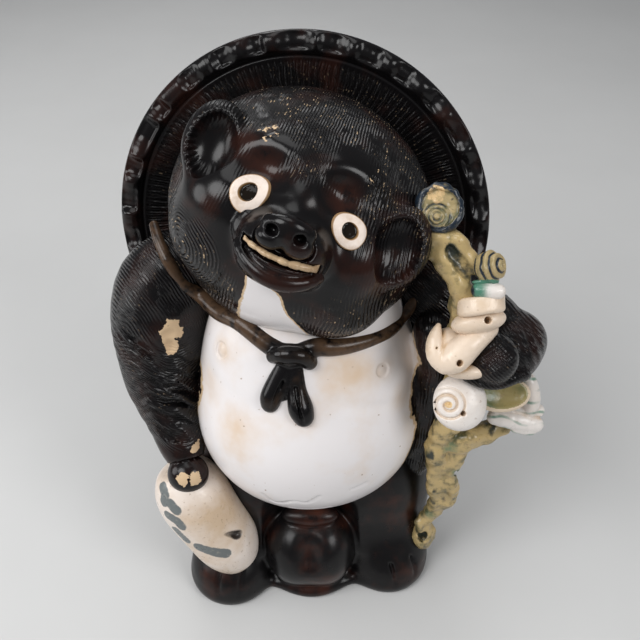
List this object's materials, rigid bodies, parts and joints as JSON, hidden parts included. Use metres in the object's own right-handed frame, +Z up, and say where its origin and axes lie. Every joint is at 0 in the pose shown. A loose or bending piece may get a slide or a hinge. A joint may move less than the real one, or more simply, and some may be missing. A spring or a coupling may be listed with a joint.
{
  "type": "tanuki statue",
  "caption": "Standing glazed stoneware tanuki with a straw hat on its back, a white belly, a flask in one paw and a flowering branch in the other.",
  "frame": {"origin": "middle of the body's base on the floor plane", "axes": "+Z up, the figure faces -Y, +X is towards the figure's own left"},
  "size_m": [0.2859, 0.189, 0.3705],
  "materials": {
    "dark_glaze": "glossy brown-black glaze over combed clay",
    "white_glaze": "glossy white glaze with warm stains",
    "cream_glaze": "satin cream glaze",
    "olive_glaze": "satin ochre and olive glaze with blue-black accents",
    "black_clay": "glossy black",
    "eye_slip": "satin cream slip"
  },
  "bodies": {
    "root": {"base_slab": "dark_glaze", "body_front": "white_glaze", "body_back": "dark_glaze", "head_shell": "dark_glaze", "right_leg": "dark_glaze", "left_leg": "dark_glaze", "lucky_pouch": "dark_glaze", "pouch_tab": "dark_glaze", "tail": "dark_glaze", "muzzle": "dark_glaze", "lower_jaw": "dark_glaze", "teeth": "cream_glaze", "nose": "dark_glaze", "right_pupil": "black_clay", "left_pupil": "black_clay", "right_eye_white": "eye_slip", "left_eye_white": "eye_slip", "right_ear": "dark_glaze", "left_ear": "dark_glaze", "right_arm": "dark_glaze", "right_paw": "dark_glaze", "flask": "cream_glaze", "left_upper_arm": "dark_glaze", "left_forearm": "dark_glaze", "left_paw": "dark_glaze", "branch_upper": "olive_glaze", "branch_lower": "olive_glaze", "branch_twig": "olive_glaze", "top_knot": "olive_glaze", "small_knot": "olive_glaze", "blossom_collar": "cream_glaze", "blossom_upper": "cream_glaze", "blossom_middle": "cream_glaze", "blossom_front": "cream_glaze", "upper_bud": "cream_glaze", "lower_bud": "cream_glaze", "leaf": "olive_glaze", "cord_knot": "dark_glaze", "right_cord": "dark_glaze", "left_cord": "dark_glaze", "right_cord_tail": "dark_glaze", "left_cord_tail": "dark_glaze", "hat_shell": "dark_glaze", "hat_rim": "dark_glaze"}
  },
  "joints": []
}
